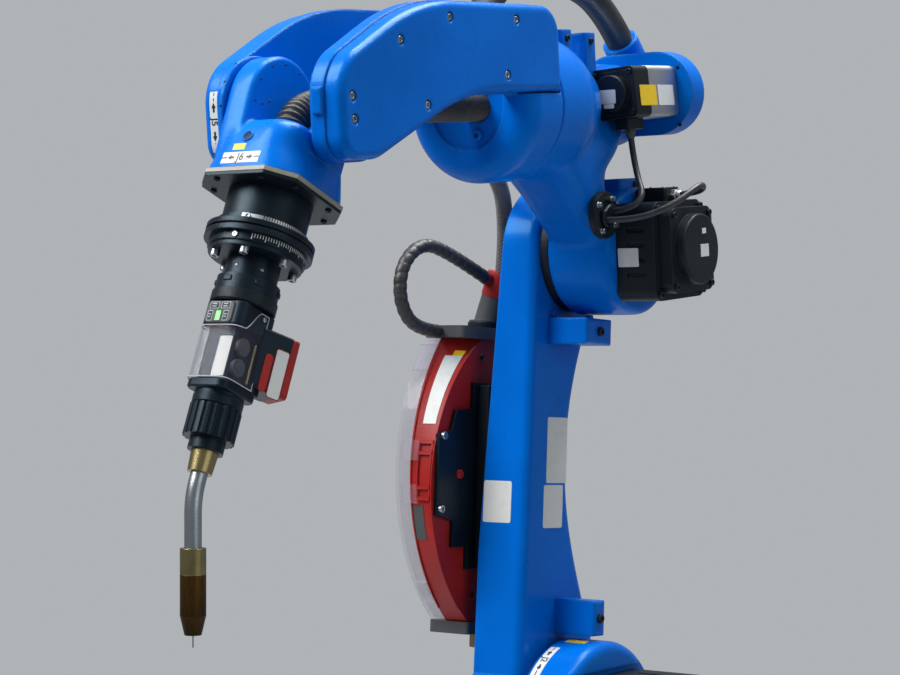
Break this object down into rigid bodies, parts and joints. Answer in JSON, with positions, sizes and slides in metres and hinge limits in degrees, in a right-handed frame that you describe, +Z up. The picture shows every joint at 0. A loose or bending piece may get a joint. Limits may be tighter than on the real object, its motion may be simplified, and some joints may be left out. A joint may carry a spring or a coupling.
{
  "type": "industrial robot arm",
  "caption": "Floor-mounted industrial arc-welding robot arm with servo motors, forked hollow forearm, wire buffer and bent-neck welding torch.",
  "frame": {"origin": "centre of the base flange's bottom face, on the first joint's axis", "axes": "+X forwards in the stored pose, +Y to the robot's left, +Z up along the first joint's axis"},
  "size_m": [1.1537, 0.4005, 1.4607],
  "materials": {
    "blue_paint": "satin blue enamel on castings",
    "motor_black": "satin black",
    "tool_black": "matt black",
    "steel": "machined",
    "red_plastic": "moulded red",
    "clear_plastic": "clear moulded cover",
    "grey_plastic": "moulded grey",
    "brass": "machined brass",
    "copper": "heat-stained copper",
    "hose_sleeve": "ribbed black hose",
    "rubber_hose": "black rubber"
  },
  "bodies": {
    "base": {"base_casting": "blue_paint", "base_rear_cover": "motor_black", "j1_reducer": "steel"},
    "turret": {"turret_casting": "blue_paint", "j2_motor": "motor_black"},
    "lower_arm": {"lower_arm_casting": "blue_paint", "j2_reducer": "steel", "j2_stop_block": "blue_paint", "j3_stop_block": "blue_paint", "j3_reducer": "steel", "buffer_bracket": "tool_black", "buffer_case": "red_plastic", "buffer_cover": "clear_plastic", "buffer_head_cap": "grey_plastic", "buffer_foot_cap": "grey_plastic", "buffer_inlet": "brass", "buffer_connector": "grey_plastic", "hose_clamp": "red_plastic", "buffer_loop_hose": "hose_sleeve", "torch_hosepack": "hose_sleeve"},
    "elbow": {"elbow_casting": "blue_paint", "j4_gearcase": "blue_paint", "j3_motor": "motor_black", "j3_terminal_box": "motor_black", "j4_motor": "motor_black", "j4_terminal_box": "motor_black", "cable_gland": "motor_black", "j4_motor_lead": "rubber_hose", "j3_motor_lead": "rubber_hose", "forearm_umbilical": "rubber_hose"},
    "forearm": {"j4_reducer": "steel", "forearm_casting": "blue_paint", "left_belt_cover": "blue_paint", "right_belt_cover": "blue_paint", "torch_conduit": "hose_sleeve"},
    "wrist": {"wrist_casting": "blue_paint", "wrist_plate": "tool_black"},
    "tool": {"crash_box": "tool_black", "torch_head": "tool_black", "torch_body": "tool_black", "torch_drive_box": "tool_black", "torch_lever": "red_plastic", "torch_grip_nut": "tool_black", "torch_union_nut": "brass", "torch_neck": "steel", "nozzle_ring": "brass", "nozzle": "copper", "welding_wire": "steel"}
  },
  "joints": [
    {"name": "j1_swivel", "type": "hinge", "parent": "base", "child": "turret", "pos_m": [0, 0, 0], "axis": [0, 0, 1], "range_deg": [-167, 167]},
    {"name": "j2_lower_arm", "type": "hinge", "parent": "turret", "child": "lower_arm", "pos_m": [0.16, 0, 0.46], "axis": [0, 1, 0], "range_deg": [-60, 75]},
    {"name": "j3_elbow", "type": "hinge", "parent": "lower_arm", "child": "elbow", "pos_m": [0.12635, 0, 1.10212], "axis": [0, -1, 0], "range_deg": [-55, 80], "deforming": ["torch_hosepack"]},
    {"name": "j4_forearm_roll", "type": "hinge", "parent": "elbow", "child": "forearm", "pos_m": [0.14291, 0, 1.2914], "axis": [0.9962, 0, -0.0872], "range_deg": [-150, 150], "deforming": ["forearm_umbilical"]},
    {"name": "j5_wrist_bend", "type": "hinge", "parent": "forearm", "child": "wrist", "pos_m": [0.78047, 0, 1.23562], "axis": [0, -1, 0], "range_deg": [-40, 100], "deforming": ["torch_conduit"]},
    {"name": "j6_tool_roll", "type": "hinge", "parent": "wrist", "child": "tool", "pos_m": [0.78047, 0, 1.23562], "axis": [0.3746, 0, -0.9272], "range_deg": [-200, 200]}
  ]
}
